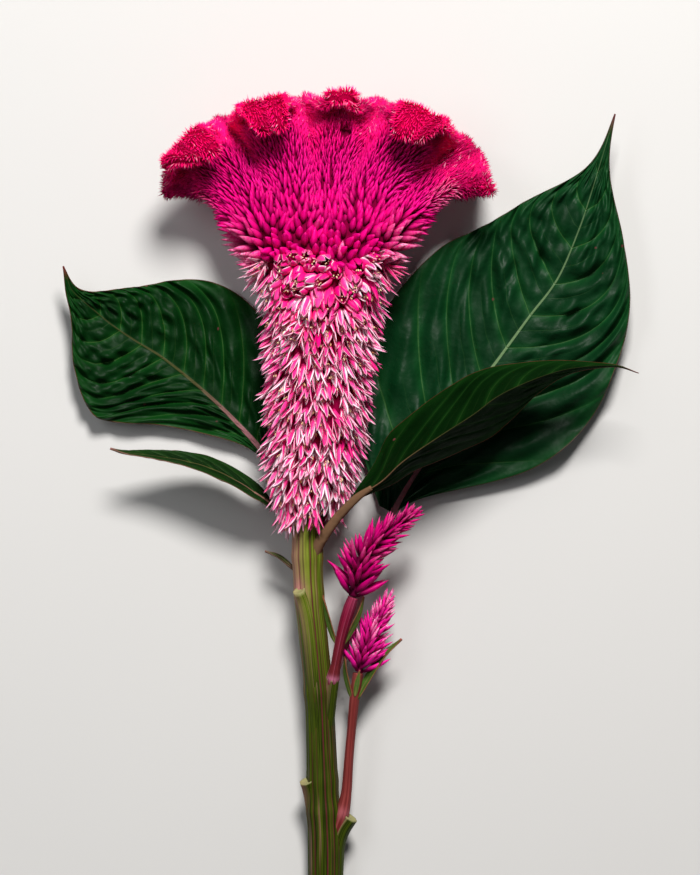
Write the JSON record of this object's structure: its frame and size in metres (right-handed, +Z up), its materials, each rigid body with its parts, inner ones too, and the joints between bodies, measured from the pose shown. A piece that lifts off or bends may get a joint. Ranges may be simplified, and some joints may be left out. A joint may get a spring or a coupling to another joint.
{
  "type": "cockscomb celosia",
  "caption": "Cut stem of cockscomb celosia lying down: a ribbed stem with large quilted leaves, side shoots of buds and a crimped, rolled crest above a spike of pink florets.",
  "frame": {"origin": "on the surface the plant lies on, under the middle of its outline", "axes": "+Z up from the surface, +Y along the stem from its cut end to the crest, +X to the right with the front of the head facing up"},
  "size_m": [0.2158, 0.3193, 0.0509],
  "materials": {
    "stem": "satin",
    "leaf": "satin",
    "shoot_stalk": "satin",
    "floret": "satin",
    "bud": "satin",
    "crest": "matte"
  },
  "bodies": {
    "root": {"stem": "stem", "left_leaf": "leaf", "right_leaf": "leaf", "front_leaf": "leaf", "narrow_leaf": "leaf", "small_leaf": "leaf", "upper_shoot_stalk": "shoot_stalk", "upper_shoot_spike": "bud", "lower_shoot_stalk": "shoot_stalk", "lower_shoot_spike": "bud", "spike_florets": "floret", "fan_buds": "bud", "crest": "crest"}
  },
  "joints": []
}
